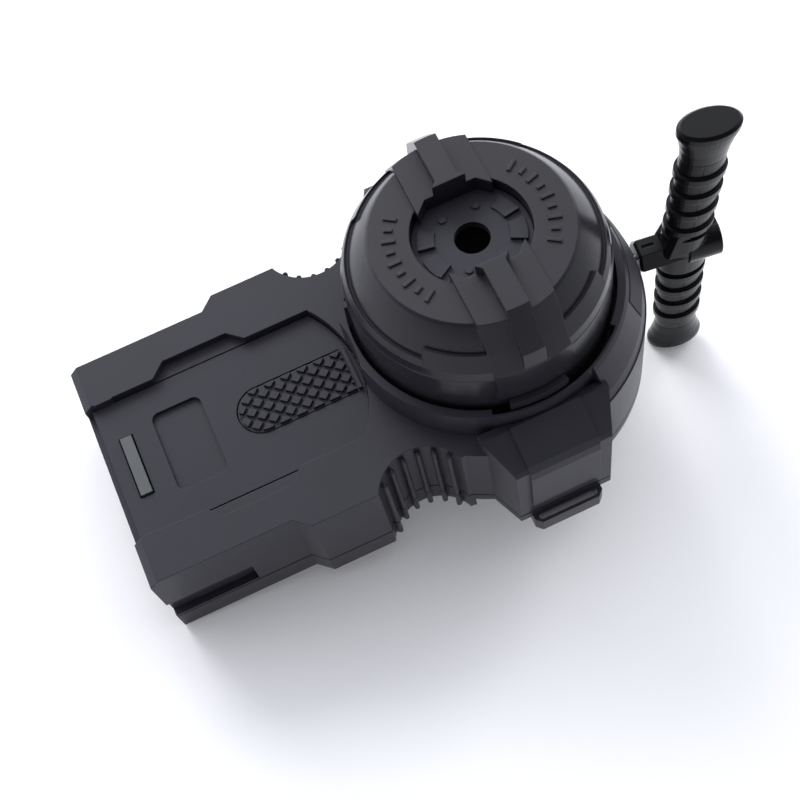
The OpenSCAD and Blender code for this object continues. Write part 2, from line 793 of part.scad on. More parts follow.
module lower_housing() color([0.10, 0.10, 0.115]) {
    difference() {
        union() {
            translate([0, 0, turret_floor_z])
                linear_extrude(seam_z - turret_floor_z) body_plan();
            linear_extrude(seam_z) intersection() {
                body_plan();
                translate([-rear_x, -rail_half - bracket_half])
                    square([rear_x - lip_r + wall, 2 * (rail_half + bracket_half)]);
            }
            cylinder(r = lip_r, h = turret_floor_z + over / 2);
            finger_ribs(0, seam_z);
            for (side = [0, 1]) mirror([0, side, 0]) accessory_loop();
        }
        // Tray under the grip and round the turret floor
        translate([0, 0, wall]) linear_extrude(seam_z) intersection() {
            body_plan(wall);
            translate([-rear_x, -rail_half - bracket_half])
                square([rear_x - lip_r - wall, 2 * (rail_half + bracket_half)]);
        }
        translate([0, 0, floor_top_z]) linear_extrude(seam_z) body_plan(wall);
        // Bearing ring of the launch head
        translate([0, 0, -over]) cylinder(r = head_r + run_fit, h = seam_z + 2 * over);
        for (p = all_screws()) translate([p[0], p[1], screw_floor(p) - over]) {
            cylinder(r = screw_r + run_fit, h = seam_z + 2 * over);
            cylinder(r = screw_head_r + run_fit, h = screw_head_h + screw_sink + over);
        }
        // Seats of the drum's axle and of the fork's guide pin
        translate([-drum_x, 0, wall / 2]) cylinder(r = axle_r, h = seam_z);
        rotate(fork_angle) translate([fork_reach, 0, turret_floor_z + floor_t / 2])
            cylinder(r = guide_pin_r, h = floor_t);
        for (side = [0, 1]) mirror([0, side, 0]) loop_slot_cut();
        translate([0, 0, seam_z - seam_groove / 2]) linear_extrude(over) difference() {
            body_plan(-over);
            body_plan(seam_groove);
        }
    }
    // Sleeves round the screws
    for (p = all_screws())
        let (base = screw_floor(p) + screw_head_h + screw_sink)
        translate([p[0], p[1], base]) difference() {
            cylinder(r = screw_boss_r, h = seam_z - base);
            translate([0, 0, -over]) cylinder(r = screw_r + run_fit, h = seam_z);
        }
    // Posts for the gear plate
    for (p = plate_posts) translate([p[0], p[1], floor_top_z - over / 2]) difference() {
        cylinder(r = plate_post_r, h = gear_plate_z - floor_top_z + over / 2);
        translate([0, 0, over]) cylinder(r = plate_pilot_r, h = gear_plate_z);
    }
    // Boss that holds the foot of the drum's axle
    translate([-drum_x, 0, 0]) difference() {
        cylinder(r = axle_boss_r, h = wall + cup_base_t);
        translate([0, 0, wall / 2]) cylinder(r = axle_r, h = seam_z);
    }
}

// Loop under a bracket for accessories, on the +Y side
module accessory_loop() {
    corner = loop_reach / 2;
    translate([0, 0, 0]) linear_extrude(turret_floor_z + over)
        polygon([[-loop_len / 2, bracket_y - wall - over], [-loop_len / 2, bracket_y + corner],
                 [-loop_len / 2 + corner, bracket_y + loop_reach],
                 [loop_len / 2 - corner, bracket_y + loop_reach],
                 [loop_len / 2, bracket_y + corner], [loop_len / 2, bracket_y - wall - over]]);
}

// Slot through the loop
module loop_slot_cut() {
    end = loop_len / 2 - 1.6;
    translate([0, 0, -over]) linear_extrude(seam_z)
        bar_plan([-end, bracket_y + loop_reach / 2], [end, bracket_y + loop_reach / 2],
                 loop_slot);
}

module centre_panel() color([0.14, 0.14, 0.16]) {
    difference() {
        translate([0, 0, panel_under]) linear_extrude(panel_t) panel_plan();
        // Slot for the latch bar
        translate([-latch_x - latch_w / 2 - gap, -latch_len / 2 - gap, panel_under - over])
            cube([latch_w + 2 * gap, latch_len + 2 * gap, panel_t + 2 * over]);
        // Shallow recess with round corners
        translate([-recess_x, 0, deck_z - recess_depth]) linear_extrude(over + recess_depth)
            rounded_plan(recess_len, recess_w, 1.6);
        // Seat of the thumb pad and the small recess in front of it
        translate([0, 0, deck_z - recess_depth]) linear_extrude(over + recess_depth)
            pad_plan(panel_gap);
    }
    // Raised bar at the pad's front end
    translate([-pad_front_x + gap, -pad_w / 2, deck_z - recess_depth - over / 2])
        cube([0.8, pad_w, rail_h / 2 + recess_depth + over / 2]);
    // Socket for the top of the drum's axle
    translate([-drum_x, 0, drum_top_z + gap]) difference() {
        cylinder(r = axle_r + 1, h = panel_under - drum_top_z - gap + over / 2);
        translate([0, 0, -over]) cylinder(r = axle_r, h = over + gap);
    }
}

// Rectangle with round corners, centred
module rounded_plan(length, width, r) {
    square([length - 2 * r, width], center = true);
    square([length, width - 2 * r], center = true);
    for (x = [-1, 1], y = [-1, 1])
        translate([x * (length / 2 - r), y * (width / 2 - r)]) circle(r = r);
}

// Thumb pad's outline with one round end, grown by t
module pad_plan(t) {
    translate([-pad_front_x - pad_len + pad_w / 2, 0]) circle(r = pad_w / 2 + t);
    translate([-pad_front_x - pad_len + pad_w / 2, -pad_w / 2 - t])
        square([pad_len - pad_w / 2, pad_w + 2 * t]);
}

// Thumb pad's crossed grooves, which leave diamonds standing
module knurl_plan() {
    turn = 40;
    span = pad_len + pad_w;
    rows = ceil(span / knurl_pitch / 2);
    difference() {
        pad_plan(-0.3);
        translate([-pad_front_x - pad_len / 2, 0])
            for (dir = [-turn, turn], i = [-rows:rows])
                rotate(dir) translate([-span, i * knurl_pitch * cos(turn) - knurl_gap / 2])
                    square([2 * span, knurl_gap]);
    }
}

module thumb_pad() color([0.12, 0.12, 0.135]) {
    base_t = recess_depth - 0.1;
    translate([0, 0, deck_z - recess_depth]) {
        linear_extrude(base_t) pad_plan(0);
        linear_extrude(base_t + knurl_h) knurl_plan();
    }
}

module latch_bar() color([0.46, 0.50, 0.50]) {
    translate([-latch_x, 0, 0]) {
        translate([-latch_w / 2, -latch_len / 2, panel_under - latch_travel])
            cube([latch_w, latch_len, panel_t + latch_travel + latch_proud]);
        // Foot that keeps the bar under the panel
        translate([-latch_w, -latch_len / 2 - gap, grip_roof_z - 2 * latch_travel])
            cube([1.6 * latch_w, latch_len + 2 * gap, 2 * latch_travel - gap]);
    }
}

module latch_spring() color([0.7, 0.7, 0.72])
    translate([-latch_x, 0, wall])
        wire_spring(1.6, 0.4, grip_roof_z - 2 * latch_travel - wall, 11);

// Point on the slope from the dial's skirt to its top after a share of it, shrunk by t
function dial_slope(share, t) =
    let (foot = [dial_foot_r - t, dial_foot_z - t / 2],
         edge = [dial_top_r + dial_edge - t / 2, dial_top_z - dial_edge - t],
         run = edge - foot)
    foot + run * share
    + [run[1], -run[0]] * 4 * dial_bulge * share * (1 - share) / norm(run);

// Dial profile: a skirt, a round edge and a bulging slope up to the flat top, shrunk by t
module dial_profile(t) {
    polygon(concat([[0, skirt_bottom_z], [dial_r - t, skirt_bottom_z], [dial_r - t, skirt_top_z - t / 2]],
        [for (i = [0:arc_steps]) dial_slope(i / arc_steps, t)],
        [[dial_top_r - t / 2, dial_top_z - t], [0, dial_top_z - t]]));
}

// Space of a grip rib on the +Y side: width w, its inner end set back in the middle
module rib_space(w, inner, set) {
    notch = w / 2 - set + inner;
    translate([0, 0, skirt_bottom_z]) linear_extrude(dial_top_z)
        polygon([[-w / 2, inner], [-max(notch, ridge_w / 2), set], [max(notch, ridge_w / 2), set],
                 [w / 2, inner], [w / 2, collar_r + bracket_reach],
                 [-w / 2, collar_r + bracket_reach]]);
}

// Grip rib of the dial on the +Y side: a band across the dome, with its ridge
module dial_rib() {
    top = dial_top_z + dial_rib_h;
    intersection() {
        rotate_extrude()
            polygon([[dial_rib_inner, hub_top_z + gap], [dial_rib_inner, top], [rib_bend_r, top],
                     [rib_crease_r, rib_crease_z], [rib_side_r, rib_side_z],
                     [rib_side_r, rib_bottom_z], [dial_r - dial_wall / 2, rib_bottom_z],
                     [dial_r - dial_wall / 2, skirt_top_z - dial_wall],
                     [dial_top_r, dial_top_z - 2 * dial_wall],
                     [hub_recess_r + dial_wall, hub_top_z + gap]]);
        rib_space(dial_rib_w, dial_rib_inner, dial_rib_set);
    }
    intersection() {
        rotate_extrude()
            polygon([[dial_rib_inner, dial_top_z], [dial_rib_inner, dial_top_z + ridge_h],
                     [ridge_bend_r, dial_top_z + ridge_h], [ridge_low_r, ridge_low_z],
                     [rib_side_r, rib_side_z + dial_edge], [dial_r - dial_wall, skirt_top_z - dial_wall],
                     [dial_top_r, dial_top_z - dial_wall]]);
        rib_space(ridge_w, dial_rib_set + ridge_chamfer, dial_rib_set);
    }
}

// Raised band between two angles from the rib's middle, up to a share of the dial's slope
module dial_band(from, to, share) {
    rotate(from) rotate_extrude(angle = to - from)
        polygon([[dial_r - dial_wall, skirt_top_z - dial_wall], [dial_r, skirt_top_z - band_proud],
                 [dial_foot_r + band_proud, dial_foot_z + band_proud],
                 dial_slope(share, 0) + [band_proud, band_proud],
                 dial_slope(share, dial_wall / 2)]);
}

// Well round the hub disc, with the ledge that carries it
module hub_well() {
    translate([0, 0, hub_under_z - dial_wall])
        ring(hub_recess_r - hub_ledge, hub_recess_r + dial_wall,
             dial_top_z - dial_wall / 2 - hub_under_z + dial_wall);
}

module selector_dial() color([0.12, 0.12, 0.135]) {
    difference() {
        union() {
            difference() {
                rotate_extrude() difference() {
                    dial_profile(0);
                    translate([0, -dial_wall]) dial_profile(dial_wall);
                }
                translate([0, 0, hub_under_z]) cylinder(r = hub_recess_r, h = deck_z);
            }
            difference() {
                hub_well();
                translate([0, 0, hub_under_z]) cylinder(r = hub_recess_r, h = deck_z);
            }
            for (turn = [0, 180]) rotate(turn) {
                dial_rib();
                rotate(90) for (side = [0, 1]) mirror([0, side, 0]) {
                    dial_band(band_start, band_end, band_high_share);
                    dial_band(band_end - over, band_stop + over / 2, band_low_share);
                }
                // Foot that swings in the collar's window
                rotate(90) translate([0, 0, foot_bottom_z])
                    ring_sector(dial_r - dial_wall / 2, window_r - gap, foot_h,
                                -foot_half_angle, foot_half_angle);
                dial_pointer();
                dial_ticks();
            }
            // Tube that turns in the turret's bearing
            translate([0, 0, tube_bottom_z]) ring(tube_r - tube_wall, tube_r,
                                                 skirt_bottom_z + dial_wall - tube_bottom_z);
            // Floor between the tube and the skirt
            translate([0, 0, skirt_bottom_z])
                ring(tube_r - tube_wall, dial_r - dial_wall / 2, dial_wall);
        }
        // Holes of the retainer's screws
        for (turn = retainer_screw_turns)
            rotate(turn) translate([retainer_screw_r, 0, tube_bottom_z - over])
                cylinder(r = pilot_r, h = tube_wall + 2 * over);
    }
}

// Pointer on the skirt, clear of the collar
module dial_pointer() {
    pointer_w = 1.4;
    pointer_h = 7.5;
    pointer_proud = 0.7;
    pointer_angle = -8;
    rotate(pointer_angle)
        translate([dial_r - over, -pointer_w / 2, collar_z + pointer_proud])
            cube([over + pointer_proud, pointer_w, pointer_h]);
}

// Plain graduation on the dial's top, on the +X side
module dial_ticks() {
    mark_h = 0.35;
    mark_w = 0.7;
    mark_step = 9;
    long_mark = 2.6;
    short_mark = 1.6;
    mark_r = (dial_top_r + hub_recess_r) / 2;
    for (i = [-4:4])
        let (long = i % 2 == 0 ? long_mark : short_mark)
        rotate(i * mark_step) translate([mark_r - long / 2, -mark_w / 2, dial_top_z - over / 2])
            cube([long, mark_w, mark_h + over / 2]);
}

module dial_hub() color([0.13, 0.13, 0.15]) {
    mark_h = 0.4;
    dot_r = 0.8;
    dot_orbit = 6.8;
    pad_in_r = 7;
    pad_out_r = 10.2;
    pad_half_angle = 12.5;
    bar_t = 0.6;
    difference() {
        union() {
            translate([0, 0, hub_under_z]) cylinder(r = hub_recess_r - hub_clear, h = hub_t);
            // Raised dots and pads round the hole, each pad with a taller bar at one edge
            translate([0, 0, hub_top_z - over / 2]) {
                for (turn = [60, 120, 240, 300])
                    rotate(turn) translate([dot_orbit, 0, 0])
                        cylinder(r = dot_r, h = mark_h + over / 2);
                for (turn = [23, -15, 157, 196])
                    rotate(turn) ring_sector(pad_in_r, pad_out_r, mark_h + over / 2,
                                             -pad_half_angle, pad_half_angle);
                for (turn = [9, -29, 169, 210])
                    rotate(turn) translate([pad_in_r, -bar_t / 2, 0])
                        cube([pad_out_r - pad_in_r, bar_t, 2 * mark_h + over / 2]);
            }
        }
        translate([0, 0, hub_under_z - over]) cylinder(r = hub_hole_r, h = hub_t + 3 * over);
    }
}

module dial_retainer() color([0.75, 0.75, 0.72]) {
    difference() {
        translate([0, 0, retainer_z]) ring(retainer_in_r, retainer_r, retainer_t);
        for (turn = [0, -dial_swing])
            rotate(turn) translate([detent_orbit, 0, retainer_z - over])
                cylinder(r = detent_r + 2 * gap, h = retainer_t + 2 * over);
        for (turn = retainer_screw_turns)
            rotate(turn) translate([retainer_screw_r, 0, retainer_z - over])
                cylinder(r = pilot_r, h = retainer_t + 2 * over);
    }
}

module retainer_screws() color([0.7, 0.7, 0.72])
    for (turn = retainer_screw_turns)
        rotate(turn) translate([retainer_screw_r, 0, retainer_z - small_head_h]) {
            cylinder(r = small_head_r, h = small_head_h);
            cylinder(r = pilot_r, h = small_head_h + retainer_t + tube_wall);
        }

module detent_spring() color([0.7, 0.7, 0.72]) {
    height = turret_deck_under - retainer_z - run_fit;
    translate([detent_orbit, 0, retainer_z + run_fit]) {
        cylinder(r = detent_r, h = height);
        translate([0, -detent_leaf_w / 2, 0]) cube([detent_leaf_t, detent_leaf_w, height]);
    }
}

// Face cam under the retainer: its underside climbs by the shift over the dial's swing
module shift_cam() color([0.8, 0.8, 0.76]) {
    start = fork_angle + cam_margin;
    step = -(dial_swing + 2 * cam_margin) / cam_steps;
    points = [for (i = [0:cam_steps])
        let (a = start + i * step, z = cam_z(-i * step - cam_margin))
        each [[cam_in_r * cos(a), cam_in_r * sin(a), z],
              [cam_out_r * cos(a), cam_out_r * sin(a), z],
              [cam_out_r * cos(a), cam_out_r * sin(a), retainer_z],
              [cam_in_r * cos(a), cam_in_r * sin(a), retainer_z]]];
    last = 4 * cam_steps;
    polyhedron(points, concat(
        [[0, 1, 2, 3], [last + 3, last + 2, last + 1, last]],
        [for (i = [0:cam_steps - 1], k = [0:3])
            let (a = 4 * i + k, b = 4 * i + (k + 1) % 4)
            each [[b, a, a + 4], [b, a + 4, b + 4]]]));
}

// Fork that lifts the pinion, with a tube on its guide pin and a domed follower
module shift_fork() color([0.85, 0.84, 0.8]) {
    bore_top = follower_top_z - follower_r - 1.2;
    rotate(fork_angle) difference() {
        union() {
            translate([0, 0, fork_z]) linear_extrude(fork_t) difference() {
                union() {
                    circle(r = fork_ring_r);
                    translate([0, -fork_arm_w / 2]) square([fork_reach, fork_arm_w]);
                    translate([fork_reach, 0]) circle(r = fork_tube_r);
                }
                circle(r = neck_r + run_fit);
                translate([-2 * fork_ring_r, -fork_ring_r - over])
                    square([2 * fork_ring_r, 2 * (fork_ring_r + over)]);
            }
            translate([fork_reach, 0, fork_z])
                cylinder(r = fork_tube_r, h = follower_top_z - follower_r - fork_z);
            translate([fork_reach, 0, follower_top_z - follower_r]) sphere(r = follower_r);
        }
        translate([fork_reach, 0, fork_z - over])
            cylinder(r = guide_pin_r + run_fit, h = bore_top - fork_z + over);
    }
}

module fork_guide() color([0.75, 0.75, 0.77])
    rotate(fork_angle) translate([fork_reach, 0, turret_floor_z + floor_t / 2])
        cylinder(r = guide_pin_r, h = follower_top_z - follower_r - 2 - floor_top_z);

module fork_spring() color([0.7, 0.7, 0.72])
    rotate(fork_angle) translate([fork_reach, 0, floor_top_z])
        wire_spring(guide_pin_r + 0.55, 0.4, fork_z - floor_top_z, 5);

module idler_gear() color([0.86, 0.85, 0.8])
    translate([idler_pos[0], idler_pos[1], gear_z])
        spur_gear(idler_teeth, idler_phase, pin_r + run_fit, gear_t);

// Compound gear: the lower section meshes with the idler, the upper one with the raised pinion
module reverse_gear() color([0.86, 0.85, 0.8])
    translate([reverse_pos[0], reverse_pos[1], gear_z]) difference() {
        union() {
            linear_extrude(shift) gear_plan(reverse_teeth, reverse_phase);
            translate([0, 0, shift]) linear_extrude(gear_t) gear_plan(idler_teeth, upper_phase);
        }
        translate([0, 0, -over]) cylinder(r = pin_r + run_fit, h = shift + gear_t + 2 * over);
    }

// Stepped pins that hang from the gear plate
module idler_pins() color([0.75, 0.75, 0.77]) {
    head_t = 0.3;
    head_step = 0.8;
    play = 0.1;
    for (pin = [[idler_pos, gear_top_z], [reverse_pos, upper_row_z + gear_t]])
        translate([pin[0][0], pin[0][1], gear_z - play]) {
            translate([0, 0, -head_t]) cylinder(r = pin_r + head_step, h = head_t);
            translate([0, 0, -play])
                cylinder(r = pin_r, h = gear_plate_z + gear_plate_t - gear_z + 2 * play);
            translate([0, 0, pin[1] - gear_z + 2 * play])
                cylinder(r = pin_r + head_step, h = gear_plate_z - pin[1] - play);
        }
}

// Pinion that slides along the keyed shaft, with a grooved hub for the fork
module sliding_pinion() color([0.78, 0.66, 0.36])
    translate([0, 0, gear_z]) difference() {
        union() {
            linear_extrude(gear_t) gear_plan(pinion_teeth, 0);
            cylinder(r = neck_r, h = gear_t + neck_h + hub_flange_t);
            translate([0, 0, gear_t + neck_h]) cylinder(r = hub_flange_r, h = hub_flange_t);
        }
        translate([0, 0, -over])
            cylinder(r = shaft_r + run_fit, h = gear_t + neck_h + hub_flange_t + 2 * over);
        translate([0, -key_w / 2 - run_fit, -over])
            cube([shaft_r + key_proud + run_fit, key_w + 2 * run_fit,
                  gear_t + neck_h + hub_flange_t + 2 * over]);
    }

module launch_head() color([0.15, 0.15, 0.16]) {
    difference() {
        union() {
            cylinder(r = head_r, h = head_disc_top);
            translate([0, 0, head_disc_top]) cylinder(r = head_flange_r, h = head_flange_t);
            translate([0, 0, -centre_pin_len]) cylinder(r = centre_pin_r, h = centre_pin_len + over / 2);
            for (turn = [0, 180]) rotate(turn) {
                translate([0, 0, -prong_len])
                    ring_sector(prong_r - prong_t, prong_r, prong_len + over / 2,
                                -prong_half_angle, prong_half_angle);
                translate([0, 0, -prong_len])
                    ring_sector(prong_r - prong_t, prong_r + prong_toe, prong_toe_h,
                                -prong_half_angle, prong_half_angle);
            }
        }
        // Bore of the release plunger and socket of the shaft
        translate([0, 0, -centre_pin_len - over])
            cylinder(r = plunger_bore_r, h = plunger_bore_top + centre_pin_len + over);
        translate([0, 0, plunger_bore_top - over / 2])
            cylinder(r = shaft_r, h = head_disc_top);
    }
}

module head_shaft() color([0.75, 0.75, 0.77]) {
    key_z = head_disc_top + head_flange_t;
    translate([0, 0, plunger_bore_top]) cylinder(r = shaft_r, h = shaft_top_z - plunger_bore_top);
    translate([0, -key_w / 2, key_z])
        cube([shaft_r + key_proud, key_w, gear_plate_z - gap - key_z]);
}

module release_plunger() color([0.25, 0.25, 0.27])
    translate([0, 0, -centre_pin_len - plunger_out]) cylinder(r = plunger_r, h = plunger_len);

module plunger_spring() color([0.7, 0.7, 0.72])
    translate([0, 0, plunger_top_z])
        wire_spring(plunger_coil_r, plunger_wire, plunger_bore_top - plunger_top_z, 5);

module gear_plate() color([0.82, 0.81, 0.77]) {
    difference() {
        translate([0, 0, gear_plate_z]) linear_extrude(gear_plate_t) {
            circle(r = shaft_r + bush_wall + plate_rim);
            for (p = concat(plate_posts, [idler_pos, reverse_pos]))
                bar_plan([0, 0], p, plate_arm_w);
        }
        translate([0, 0, gear_plate_z - over])
            cylinder(r = shaft_r + bush_wall, h = gear_plate_t + 2 * over);
        for (p = plate_posts) translate([p[0], p[1], gear_plate_z - over])
            cylinder(r = plate_pilot_r, h = gear_plate_t + 2 * over);
        for (p = [idler_pos, reverse_pos]) translate([p[0], p[1], gear_plate_z - over])
            cylinder(r = pin_r, h = gear_plate_t + 2 * over);
    }
}

module gear_plate_screws() color([0.7, 0.7, 0.72])
    for (p = plate_posts) translate([p[0], p[1], gear_plate_z + gear_plate_t]) {
        cylinder(r = plate_screw_r, h = plate_screw_head_h);
        translate([0, 0, -plate_screw_len]) cylinder(r = plate_pilot_r, h = plate_screw_len);
    }

module shaft_bush() color([0.78, 0.66, 0.36])
    translate([0, 0, gear_plate_z]) ring(shaft_r + run_fit, shaft_r + bush_wall, gear_plate_t);

module drum_gear() color([0.86, 0.85, 0.8])
    translate([-drum_x, 0, 0]) {
        translate([0, 0, gear_z]) spur_gear(drum_teeth, drum_phase, axle_r + run_fit, gear_t);
        translate([0, 0, wall + cup_base_t + gap])
            ring(axle_r + run_fit, arbor_r, gear_z - wall - cup_base_t - gap);
    }

module string_drum() color([0.83, 0.82, 0.78])
    translate([-drum_x, 0, 0]) difference() {
        union() {
            translate([0, 0, drum_bottom_z]) cylinder(r = core_r, h = drum_top_z - drum_bottom_z);
            for (z = [zone_z - flange_t, zone_z + string_zone])
                translate([0, 0, z]) cylinder(r = flange_r, h = flange_t);
        }
        translate([0, 0, drum_bottom_z - over])
            cylinder(r = axle_r + run_fit, h = drum_top_z);
    }

module string_winding() color([0.9, 0.9, 0.88])
    translate([-drum_x, 0, zone_z]) ring(core_r, winding_r, string_zone);

module drum_axle() color([0.75, 0.75, 0.77])
    translate([-drum_x, 0, wall / 2]) cylinder(r = axle_r, h = drum_top_z + 2 * gap - wall / 2);

// Flat spiral from the arbor to the cup
module return_spring() color([0.62, 0.62, 0.66]) {
    steps = 18 * spiral_turns;
    base = wall + cup_base_t + gap;
    translate([-drum_x, 0, base]) linear_extrude(gear_z - base - gap)
        polygon(concat(
            [for (i = [0:steps]) on_circle(spiral_r(i / steps) - strip_t / 2, 20 * i)],
            [for (i = [steps:-1:0]) on_circle(spiral_r(i / steps) + strip_t / 2, 20 * i)]));
}

module spring_cup() color([0.3, 0.3, 0.32])
    translate([-drum_x, 0, wall]) difference() {
        cylinder(r = cup_r, h = gear_z - wall - gap);
        translate([0, 0, cup_base_t]) cylinder(r = cup_r - cup_wall, h = gear_z);
        translate([0, 0, -over]) cylinder(r = axle_boss_r, h = cup_base_t + 2 * over);
    }

module string_guide() color([0.16, 0.16, 0.17])
    translate([turret_r - wall - over, 0, string_z]) rotate([0, 90, 0]) difference() {
        union() {
            cylinder(r = guide_r, h = guide_tip_x - turret_r + wall + over);
            translate([0, 0, -over / 2]) cylinder(r = guide_flange_r, h = over);
        }
        translate([0, 0, -2 * over]) cylinder(r = string_bore_r, h = wall + 5 * over);
    }

// Straight stretch of string between two points at the string's height
module string_run(p, q) {
    translate([p[0], p[1], string_z]) rotate([0, 90, heading(p, q)])
        cylinder(r = string_r, h = norm(q - p), $fn = 24);
}

module inner_string() color([0.9, 0.9, 0.88])
    string_run([-drum_x + over, winding_r + string_r], [turret_r - wall - 2 * over, 0]);

module pull_string() color([0.9, 0.9, 0.88])
    string_run([guide_tip_x - wall, 0], [nose_x + over, 0]);

// Puts the handle's own frame, with its nose's tip at the origin, in place
module place_handle() {
    translate([nose_x, 0, string_z]) rotate([0, handle_pitch, handle_yaw]) children();
}

// Puts an arm's own frame, with the arm along +Z, at the bar's centre: side 0 is up, 1 is down
module place_arm(side) {
    translate([nose_len, 0, 0]) mirror([0, 0, side]) rotate([0, arm_sweep, 0]) children();
}

// One half of the bar with its root and its ring ribs: keep -1 is the front half, 1 the rear
module bar_half(keep) {
    intersection() {
        for (side = [0, 1])
            place_arm(side) {
                translate([0, 0, -over]) linear_extrude(arm_len + over) oval_plan(bar_d, bar_w);
                translate([0, 0, -over])
                    linear_extrude(root_half + over) oval_plan(bar_d + root_grow, bar_w + root_grow);
                for (i = [0:ring_count - 1])
                    translate([0, 0, ring_first + i * ring_pitch - ring_half])
                        linear_extrude(2 * ring_half) oval_plan(bar_d + 2 * ring_h, bar_w + 2 * ring_h);
            }
        translate([nose_len + (keep < 0 ? -2 * bar_d : 0), -bar_d, -bar_len])
            cube([2 * bar_d, 2 * bar_d, 2 * bar_len]);
    }
}

// Oval, depth along X
module oval_plan(depth, width) {
    polygon([for (i = [0:oval_steps - 1])
        [depth / 2 * cos(i * 360 / oval_steps), width / 2 * sin(i * 360 / oval_steps)]]);
}

// Bore for the string and room for its knot
module string_bore() {
    translate([-over, 0, 0]) rotate([0, 90, 0]) cylinder(r = string_bore_r, h = nose_len);
    translate([nose_len - knot_r - gap, 0, 0]) rotate([0, 90, 0])
        cylinder(r = knot_r + gap, h = 2 * knot_r + 2 * gap);
}

// Hole for the handle's screw through both halves
module handle_screw_hole(r, from) {
    translate([nose_len + from, 0, handle_screw_z]) rotate([0, 90, 0])
        cylinder(r = r, h = bar_d + boss_len);
}

module handle_front() color([0.13, 0.13, 0.14])
    place_handle() difference() {
        union() {
            bar_half(-1);
            rotate([0, 90, 0]) rotate(30)
                cylinder(r1 = nose_r - nose_chamfer, r2 = nose_r, h = nose_chamfer, $fn = 6);
            translate([nose_chamfer, 0, 0]) rotate([0, 90, 0]) rotate(30)
                cylinder(r = nose_r, h = nose_len - nose_chamfer, $fn = 6);
        }
        string_bore();
        handle_screw_hole(handle_screw_r, -handle_screw_in);
        // Slot in the nose's upper face
        translate([2 * nose_chamfer, -nose_slot_w / 2, nose_r * cos(30) - nose_slot_depth])
            cube([nose_slot_len, nose_slot_w, over]);
    }

module handle_rear() color([0.12, 0.12, 0.13])
    place_handle() difference() {
        union() {
            bar_half(1);
            translate([nose_len, 0, 0]) rotate([0, 90, 0]) cylinder(r = boss_r, h = boss_len);
        }
        string_bore();
        handle_screw_hole(handle_screw_r, -over);
        handle_screw_hole(handle_screw_head_r, handle_screw_in);
    }

// Closed loft along Z through oval sections, each given as height, depth and width
module oval_loft(sections) {
    n = oval_steps;
    last = len(sections) - 1;
    points = [for (s = sections, i = [0:n - 1])
        [s[1] / 2 * cos(i * 360 / n), s[2] / 2 * sin(i * 360 / n), s[0]]];
    polyhedron(points, concat(
        [[for (i = [0:n - 1]) i], [for (i = [n - 1:-1:0]) last * n + i]],
        [for (k = [0:last - 1], i = [0:n - 1])
            let (a = k * n + i, b = k * n + (i + 1) % n)
            each [[a, a + n, b], [b, a + n, b + n]]]));
}

module handle_end_caps() color([0.13, 0.13, 0.14]) {
    flare = cap_d / bar_d;
    top = cap_len;
    rim = 0.6;
    place_handle() for (side = [0, 1])
        place_arm(side)
            translate([0, 0, arm_len])
                oval_loft([[0, bar_d, bar_w],
                           [top * 0.3, bar_d * (1 + 0.2 * (flare - 1)), bar_w * 1.05],
                           [top * 0.6, bar_d * (1 + 0.6 * (flare - 1)), bar_w * 1.12],
                           [top * 0.8, cap_d, cap_w], [top - rim, cap_d, cap_w],
                           [top, cap_d - 2 * rim, cap_w - 2 * rim]]);
}

module handle_screw() color([0.7, 0.7, 0.72])
    place_handle() translate([nose_len, 0, handle_screw_z]) rotate([0, 90, 0]) {
        translate([0, 0, -handle_screw_in]) cylinder(r = handle_screw_r, h = 2 * handle_screw_in);
        translate([0, 0, handle_screw_in]) cylinder(r = handle_screw_head_r, h = small_head_h);
    }

module string_knot() color([0.9, 0.9, 0.88])
    place_handle() translate([nose_len, 0, 0]) sphere(r = knot_r);

module housing_screws() color([0.7, 0.7, 0.72])
    for (p = all_screws())
        translate([p[0], p[1], screw_floor(p) + screw_sink])
            screw(screw_grip_z - screw_floor(p) - screw_sink - screw_head_h - gap);

upper_housing();
lower_housing();
centre_panel();
thumb_pad();
latch_bar();
latch_spring();
label_plate(0);  // label_plate_left
label_plate(1);  // label_plate_right
selector_dial();
dial_hub();
dial_retainer();
retainer_screws();
detent_spring();
shift_cam();
shift_fork();
fork_guide();
fork_spring();
idler_gear();
reverse_gear();
idler_pins();
launch_head();
head_shaft();
sliding_pinion();
release_plunger();
plunger_spring();
gear_plate();
gear_plate_screws();
shaft_bush();
drum_gear();
string_drum();
string_winding();
drum_axle();
return_spring();
spring_cup();
string_guide();
inner_string();
pull_string();
string_knot();
handle_front();
handle_rear();
handle_end_caps();
handle_screw();
housing_screws();
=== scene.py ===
"""Looks of the spinning top launcher: camera, light, floor and a material for every piece."""
import math

import bmesh
import bpy
from mathutils import Matrix, Vector


